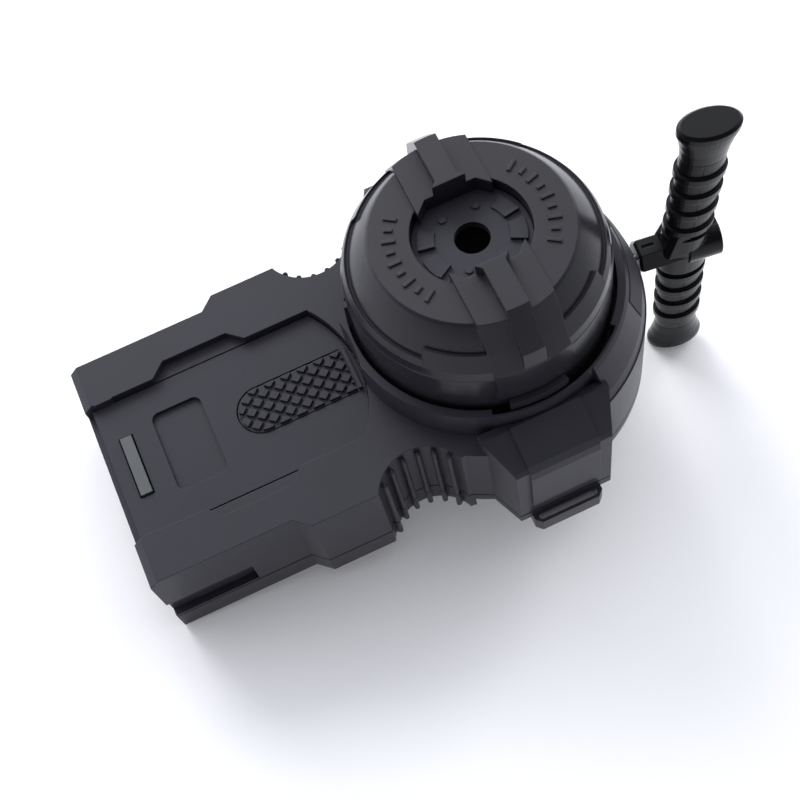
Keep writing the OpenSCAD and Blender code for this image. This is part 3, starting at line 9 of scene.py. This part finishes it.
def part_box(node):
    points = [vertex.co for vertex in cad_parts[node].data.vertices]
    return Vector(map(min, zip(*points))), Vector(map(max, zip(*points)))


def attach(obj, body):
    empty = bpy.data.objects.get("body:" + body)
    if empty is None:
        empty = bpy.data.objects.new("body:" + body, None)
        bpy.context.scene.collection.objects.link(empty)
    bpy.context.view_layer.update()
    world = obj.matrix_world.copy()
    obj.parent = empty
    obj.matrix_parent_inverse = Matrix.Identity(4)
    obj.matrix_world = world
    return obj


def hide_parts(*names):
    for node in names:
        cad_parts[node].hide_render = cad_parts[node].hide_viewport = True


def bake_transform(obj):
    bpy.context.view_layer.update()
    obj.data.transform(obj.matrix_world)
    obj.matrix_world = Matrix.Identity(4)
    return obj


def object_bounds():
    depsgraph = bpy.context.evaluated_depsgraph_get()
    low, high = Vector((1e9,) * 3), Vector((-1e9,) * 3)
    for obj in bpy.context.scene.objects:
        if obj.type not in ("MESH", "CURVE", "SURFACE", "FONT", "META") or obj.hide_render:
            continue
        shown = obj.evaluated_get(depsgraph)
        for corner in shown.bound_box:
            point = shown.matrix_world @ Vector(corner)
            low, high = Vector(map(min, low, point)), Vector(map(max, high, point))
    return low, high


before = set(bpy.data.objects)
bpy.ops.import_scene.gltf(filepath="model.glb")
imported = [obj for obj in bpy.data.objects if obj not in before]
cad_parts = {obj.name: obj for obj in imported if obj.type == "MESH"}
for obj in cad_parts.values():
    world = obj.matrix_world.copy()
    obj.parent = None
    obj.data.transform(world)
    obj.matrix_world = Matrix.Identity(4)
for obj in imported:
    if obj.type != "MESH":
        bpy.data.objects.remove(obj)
cad_lo, cad_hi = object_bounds()
scene = bpy.context.scene

# Camera: place in m, rotation vector from the frame to the camera, lens and film width in mm
CAM_POS = Vector((-0.041275, -0.126025, 0.2717))
CAM_ROT = Vector((2.634, -0.592, -0.038))
LENS = 62.88
FILM_WIDTH = 36
CLIP = (0.01, 20)

# Plastic: tint and gloss vary slowly over the surface, and the gloss also with its slope
SLOW_SCALE = 60
SLOW_DETAIL = 4
GRAIN_DETAIL = 3
GRAIN_DEPTH = 0.00012
TINT_DARK, TINT_LIGHT = 0.85, 1.15
GLOSS_SPREAD = 0.04
SIDE_Z, FLAT_Z = 0.55, 0.97
BEVEL_SAMPLES = 6
SMALL_EDGE = 0.00022
BOLD_EDGE = 0.0003

# Metal and cord
BRUSH_SCALE = 600
BRUSH_SPREAD = 0.08
BRAID_SCALE = 900
# Share of the cord's colour left in the braid's grooves: painted shade
BRAID_GROOVE_SHADE = 0.7
BRAID_DEPTH = 0.0002
BRAID_BUMP = 0.5
BRAID_ROUGH = 0.75

# Pull string: strands, the share of the radius that they stand out, and its mesh
STRANDS = 3
STRAND_RELIEF = 0.12
CORD_TURNS = 1.2
CORD_RINGS = 28
CORD_SIDES = 24

# Handle's nose: place in m and turns; the gusset's plan corners and heights in its frame, in mm
NOSE_POS = (0.0342, 0, 0.018)
NOSE_PITCH = math.radians(1.5)
NOSE_YAW = math.radians(-7)
GUSSET_FOOT_Z, GUSSET_HEAD_Z = 1.5, 8.2
GUSSET_FOOT = ((4.7, 2.5), (5.9, 3.65), (10.2, 3.8))
GUSSET_HEAD = ((6.5, 2.1), (7.5, 3.25), (10.2, 3.3))
FLAT_ANGLE = math.radians(1)
MM = 1000

# Floor: half its width and its gap under the launcher in m, and the share of white of its own
FLOOR_REACH = 4.0
FLOOR_GAP = 0.0003
FLOOR_COLOR = (0.9, 0.9, 0.93)
FLOOR_ROUGH = 0.7
FLOOR_SPEC = 0.2
FLOOR_WHITE = 0.1

# World: strength of the cove at the horizon and of the room above it, with the heights between
# which one turns into the other, and the dome's strength, direction and cosines
SKY_COLOR = (0.93, 0.95, 1)
COVE, ROOM = 0.85, 0.1
COVE_Z, ROOM_Z = 0.08, 0.3
DOME = 1.4
DOME_TO = Vector((0.1, 0.8, 0.6)).normalized()
DOME_EDGE, DOME_FULL = 0.0, 0.8

# Lamps: name, place, target, size in m and power in W
LAMPS = (("key", (-0.2, 1.25, 0.95), (-0.01, 0, 0), 0.85, 17.0),
         ("rim", (0.75, 0.3, 0.4), (0.0, 0, 0.02), 0.35, 1.5))


def add_object(name, data):
    obj = bpy.data.objects.new(name, data)
    scene.collection.objects.link(obj)
    return obj


# Camera at the photograph's angle: the rows of its rotation are the view's right, down and ahead
cam_data = bpy.data.cameras.new("camera")
cam = add_object("camera", cam_data)
cam_data.lens = LENS
cam_data.sensor_width = FILM_WIDTH
cam_data.clip_start, cam_data.clip_end = CLIP
view = Matrix.Rotation(CAM_ROT.length, 3, CAM_ROT.normalized())
right, up, back = view[0], -view[1], -view[2]
cam.matrix_world = Matrix((
    (right.x, up.x, back.x, CAM_POS.x),
    (right.y, up.y, back.y, CAM_POS.y),
    (right.z, up.z, back.z, CAM_POS.z),
    (0, 0, 0, 1)))
scene.camera = cam


# Shader helpers
def new_material(name):
    mat = bpy.data.materials.new(name)
    mat.use_nodes = True
    nodes = mat.node_tree.nodes
    nodes.clear()
    out = nodes.new("ShaderNodeOutputMaterial")
    bsdf = nodes.new("ShaderNodeBsdfPrincipled")
    mat.node_tree.links.new(bsdf.outputs["BSDF"], out.inputs["Surface"])
    return mat, mat.node_tree, bsdf


def set_inputs(node, **values):
    """Sets a node's inputs; an underscore in a name stands for a space."""
    for name, value in values.items():
        node.inputs[name.replace("_", " ")].default_value = value


def texture(tree, kind, coord, **values):
    node = tree.nodes.new(kind)
    set_inputs(node, **values)
    tree.links.new(coord, node.inputs["Vector"])
    return node


def remap(tree, source, start, end, low, high, smooth=False):
    """Runs from low to high while source runs from start to end."""
    node = tree.nodes.new("ShaderNodeMapRange")
    node.interpolation_type = "SMOOTHSTEP" if smooth else "LINEAR"
    set_inputs(node, From_Min=start, From_Max=end, To_Min=low, To_Max=high)
    tree.links.new(source, node.inputs["Value"])
    return node.outputs["Result"]


def combine(tree, operation, first, second):
    """Math node over two outputs, or over an output and a number."""
    node = tree.nodes.new("ShaderNodeMath")
    node.operation = operation
    tree.links.new(first, node.inputs[0])
    if isinstance(second, float):
        node.inputs[1].default_value = second
    else:
        tree.links.new(second, node.inputs[1])
    return node.outputs["Value"]


def shade(tree, fac, color, dark, light):
    """Colour between dark and light shares of color."""
    node = tree.nodes.new("ShaderNodeMix")
    node.data_type = "RGBA"
    set_inputs(node, A=(*[c * dark for c in color], 1), B=(*[c * light for c in color], 1))
    tree.links.new(fac, node.inputs["Factor"])
    return node.outputs["Result"]


def relief(tree, height, strength, depth):
    node = tree.nodes.new("ShaderNodeBump")
    set_inputs(node, Strength=strength, Distance=depth)
    tree.links.new(height, node.inputs["Height"])
    return node


# Materials
def plastic(name, color, rough, side_rough=None, grain=0.1, grain_scale=2500, edge=SMALL_EDGE,
            spec=0.33):
    """Moulded plastic: eroded grain, glossier on its sides than on its flats, rounded edges."""
    mat, tree, bsdf = new_material(name)
    set_inputs(bsdf, Specular_IOR_Level=spec)
    coord = tree.nodes.new("ShaderNodeTexCoord").outputs["Object"]
    slow = texture(tree, "ShaderNodeTexNoise", coord, Scale=SLOW_SCALE, Detail=SLOW_DETAIL)
    geo = tree.nodes.new("ShaderNodeNewGeometry")
    normal = tree.nodes.new("ShaderNodeSeparateXYZ")
    tree.links.new(geo.outputs["Normal"], normal.inputs["Vector"])
    flat = remap(tree, normal.outputs["Z"], SIDE_Z, FLAT_Z, side_rough or rough, rough, smooth=True)
    vary = remap(tree, slow.outputs["Fac"], 0, 1, -GLOSS_SPREAD, GLOSS_SPREAD)
    tree.links.new(combine(tree, "ADD", flat, vary), bsdf.inputs["Roughness"])
    tint = shade(tree, slow.outputs["Fac"], color, TINT_DARK, TINT_LIGHT)
    tree.links.new(tint, bsdf.inputs["Base Color"])
    bevel = tree.nodes.new("ShaderNodeBevel")
    bevel.samples = BEVEL_SAMPLES
    set_inputs(bevel, Radius=edge)
    fine = texture(tree, "ShaderNodeTexNoise", coord, Scale=grain_scale, Detail=GRAIN_DETAIL)
    bump = relief(tree, fine.outputs["Fac"], grain, GRAIN_DEPTH)
    tree.links.new(bevel.outputs["Normal"], bump.inputs["Normal"])
    tree.links.new(bump.outputs["Normal"], bsdf.inputs["Normal"])
    return mat


def metal(name, color, rough):
    """Plain metal with fine brush marks in its gloss."""
    mat, tree, bsdf = new_material(name)
    set_inputs(bsdf, Base_Color=(*color, 1), Metallic=1)
    coord = tree.nodes.new("ShaderNodeTexCoord").outputs["Object"]
    noise = texture(tree, "ShaderNodeTexNoise", coord, Scale=BRUSH_SCALE)
    gloss = remap(tree, noise.outputs["Fac"], 0, 1, rough - BRUSH_SPREAD, rough + BRUSH_SPREAD)
    tree.links.new(gloss, bsdf.inputs["Roughness"])
    return mat


def cord(name, color):
    """Braided cord, with painted shade: the braid's grooves, low in its bump, are darker."""
    mat, tree, bsdf = new_material(name)
    coord = tree.nodes.new("ShaderNodeTexCoord").outputs["Object"]
    wave = texture(tree, "ShaderNodeTexWave", coord, Scale=BRAID_SCALE, Distortion=1)
    wave.wave_type = "BANDS"
    wave.bands_direction = "DIAGONAL"
    # Painted shade: the wave bands darken the colour where they lower the bump, in the grooves
    tint = shade(tree, wave.outputs["Fac"], color, BRAID_GROOVE_SHADE, 1)
    tree.links.new(tint, bsdf.inputs["Base Color"])
    bump = relief(tree, wave.outputs["Fac"], BRAID_BUMP, BRAID_DEPTH)
    tree.links.new(bump.outputs["Normal"], bsdf.inputs["Normal"])
    set_inputs(bsdf, Roughness=BRAID_ROUGH)
    return mat


MATS = {
    "housing": plastic("housing", (0.034, 0.033, 0.0425), 0.5, side_rough=0.33, grain=0.22,
                       grain_scale=3000, spec=0.15),
    "matte": plastic("matte", (0.036, 0.0353, 0.045), 0.55, grain=0.35, grain_scale=3500, spec=0.14),
    "dial": plastic("dial", (0.021, 0.0206, 0.026), 0.46, side_rough=0.22, grain=0.08,
                    edge=BOLD_EDGE, spec=0.24),
    "handle": plastic("handle", (0.006, 0.006, 0.007), 0.3, side_rough=0.2, grain=0.05,
                      edge=BOLD_EDGE, spec=0.18),
    "grey": plastic("grey", (0.07, 0.078, 0.082), 0.42, grain=0.15),
    "white": plastic("white", (0.72, 0.71, 0.67), 0.45),
    "steel": metal("steel", (0.6, 0.6, 0.62), 0.3),
    "brass": metal("brass", (0.75, 0.6, 0.3), 0.3),
    "string": cord("string", (0.78, 0.78, 0.75)),
}
LOOK = {
    "matte": ["centre_panel", "thumb_pad", "label_plate_left", "label_plate_right", "dial_hub"],
    "dial": ["selector_dial"],
    "handle": ["string_guide", "handle_front", "handle_rear", "handle_end_caps"],
    "grey": ["latch_bar", "release_plunger"],
    "white": ["dial_retainer", "shift_cam", "shift_fork", "idler_gear", "reverse_gear",
              "gear_plate", "drum_gear", "string_drum"],
    "steel": ["latch_spring", "retainer_screws", "detent_spring", "fork_guide", "fork_spring",
              "idler_pins", "head_shaft", "plunger_spring", "gear_plate_screws", "drum_axle",
              "return_spring", "handle_screw", "housing_screws"],
    "brass": ["sliding_pinion", "shaft_bush"],
    "string": ["string_winding", "inner_string", "pull_string", "string_knot"],
    "housing": ["upper_housing", "lower_housing", "launch_head", "spring_cup"],
}
for look, names in LOOK.items():
    for name in names:
        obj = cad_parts[name]
        obj.data.materials.clear()
        obj.data.materials.append(MATS[look])


def twisted_cord(name, x0, x1, z, r):
    """Closed tube of twisted strands along X, from x0 to x1 at height z."""
    verts, faces = [], []
    for i in range(CORD_RINGS + 1):
        share = i / CORD_RINGS
        for k in range(CORD_SIDES):
            angle = 2 * math.pi * k / CORD_SIDES
            twist = STRANDS * (angle - 2 * math.pi * CORD_TURNS * share)
            lobe = 1 - STRAND_RELIEF + STRAND_RELIEF * math.cos(twist)
            verts.append((x0 + (x1 - x0) * share, r * lobe * math.cos(angle),
                          z + r * lobe * math.sin(angle)))
    for i in range(CORD_RINGS):
        a, b = i * CORD_SIDES, (i + 1) * CORD_SIDES
        for k in range(CORD_SIDES):
            m = (k + 1) % CORD_SIDES
            faces.append((a + k, b + k, b + m, a + m))
    last = CORD_RINGS * CORD_SIDES
    faces.append(tuple(reversed(range(last, last + CORD_SIDES))))
    faces.append(tuple(range(CORD_SIDES)))
    mesh = bpy.data.meshes.new(name)
    mesh.from_pydata(verts, [], faces)
    mesh.update()
    for poly in mesh.polygons:
        poly.use_smooth = len(poly.vertices) == 4
    return add_object(name, mesh)


# Pull string: a twisted cord in the CAD string's place, between the housing and the handle
pull_lo, pull_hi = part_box("pull_string")
pull = twisted_cord("pull_cord", pull_lo[0], pull_hi[0], (pull_lo[2] + pull_hi[2]) / 2,
                    (pull_hi[2] - pull_lo[2]) / 2)
pull.data.materials.append(MATS["string"])
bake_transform(pull)
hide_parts("pull_string")

# Press springs, copied in place between their seat on one body and their mover on the other
for name, seat_body, mover, seat_up in (("latch_spring", "housing", "latch", False),
                                        ("plunger_spring", "head", "plunger", True)):
    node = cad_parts[name]
    coil = add_object(name + "_coil", node.data.copy())
    coil.matrix_world = node.matrix_world
    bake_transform(coil)
    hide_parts(name)

# Facetted gusset that fills the corner between the handle's nose and its upper arm
nose_place = (Matrix.Translation(NOSE_POS) @ Matrix.Rotation(NOSE_YAW, 4, "Z")
              @ Matrix.Rotation(NOSE_PITCH, 4, "Y"))
solid = bmesh.new()
for plan, height in ((GUSSET_FOOT, GUSSET_FOOT_Z), (GUSSET_HEAD, GUSSET_HEAD_Z)):
    for x, y in plan:
        for y_sign in (1, -1):
            solid.verts.new(nose_place @ (Vector((x, y * y_sign, height)) / MM))
bmesh.ops.convex_hull(solid, input=solid.verts)
bmesh.ops.recalc_face_normals(solid, faces=solid.faces)
bmesh.ops.dissolve_limit(solid, angle_limit=FLAT_ANGLE, verts=solid.verts, edges=solid.edges)
mesh = bpy.data.meshes.new("gusset")
solid.to_mesh(mesh)
solid.free()
gusset = add_object("gusset", mesh)
gusset.data.materials.append(MATS["handle"])
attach(gusset, "handle")

# Floor: the launcher rests on the rear edge of its grip and the foot of its handle
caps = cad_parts["handle_end_caps"]
corners = [caps.matrix_world @ v.co for v in caps.data.vertices]
rear = Vector((cad_lo[0], 0, 0))
foot = min(corners, key=lambda v: (v.z - rear.z) / (v.x - rear.x))
foot = Vector((foot.x, 0, foot.z))
along = (foot - rear).normalized()
across = Vector((0, 1, 0))
normal = along.cross(across)
middle = (rear + foot) / 2 - normal * FLOOR_GAP
floor_mesh = bpy.data.meshes.new("floor")
floor_mesh.from_pydata(
    [middle + along * FLOOR_REACH * a + across * FLOOR_REACH * b
     for a, b in ((-1, -1), (1, -1), (1, 1), (-1, 1))],
    [], [(0, 1, 2, 3)])
floor = add_object("floor", floor_mesh)
floor_mat, tree, bsdf = new_material("floor")
set_inputs(bsdf, Base_Color=(*FLOOR_COLOR, 1), Roughness=FLOOR_ROUGH,
           Specular_IOR_Level=FLOOR_SPEC, Emission_Color=(1, 1, 1, 1))
# A little of the background's white is the floor's own, also in gloss and glass
ray = tree.nodes.new("ShaderNodeLightPath").outputs
mirrored = combine(tree, "MAXIMUM", ray["Is Glossy Ray"], ray["Is Transmission Ray"])
seen = combine(tree, "MAXIMUM", ray["Is Camera Ray"], mirrored)
tree.links.new(combine(tree, "MULTIPLY", seen, FLOOR_WHITE), bsdf.inputs["Emission Strength"])
floor.data.materials.append(floor_mat)

# World: a dim room with a white cove round the horizon, under a wide soft dome of light over
# the far side
world = bpy.data.worlds.new("world")
scene.world = world
world.use_nodes = True
tree = world.node_tree
sky = tree.nodes["Background"]
set_inputs(sky, Color=(*SKY_COLOR, 1))
where = tree.nodes.new("ShaderNodeTexCoord").outputs["Generated"]
split = tree.nodes.new("ShaderNodeSeparateXYZ")
tree.links.new(where, split.inputs["Vector"])
toward = tree.nodes.new("ShaderNodeVectorMath")
toward.operation = "DOT_PRODUCT"
toward.inputs[1].default_value = DOME_TO
tree.links.new(where, toward.inputs[0])
room = remap(tree, split.outputs["Z"], COVE_Z, ROOM_Z, COVE, ROOM, smooth=True)
dome = remap(tree, toward.outputs["Value"], DOME_EDGE, DOME_FULL, 0, DOME, smooth=True)
tree.links.new(combine(tree, "ADD", room, dome), sky.inputs["Strength"])

# Soft square lamps
for name, place, target, size, power in LAMPS:
    data = bpy.data.lights.new(name, "AREA")
    data.size = size
    data.energy = power
    lamp = add_object(name, data)
    lamp.location = place
    aim = Vector(target) - Vector(place)
    lamp.rotation_euler = aim.to_track_quat("-Z", "Y").to_euler()

scene.view_settings.view_transform = "Standard"
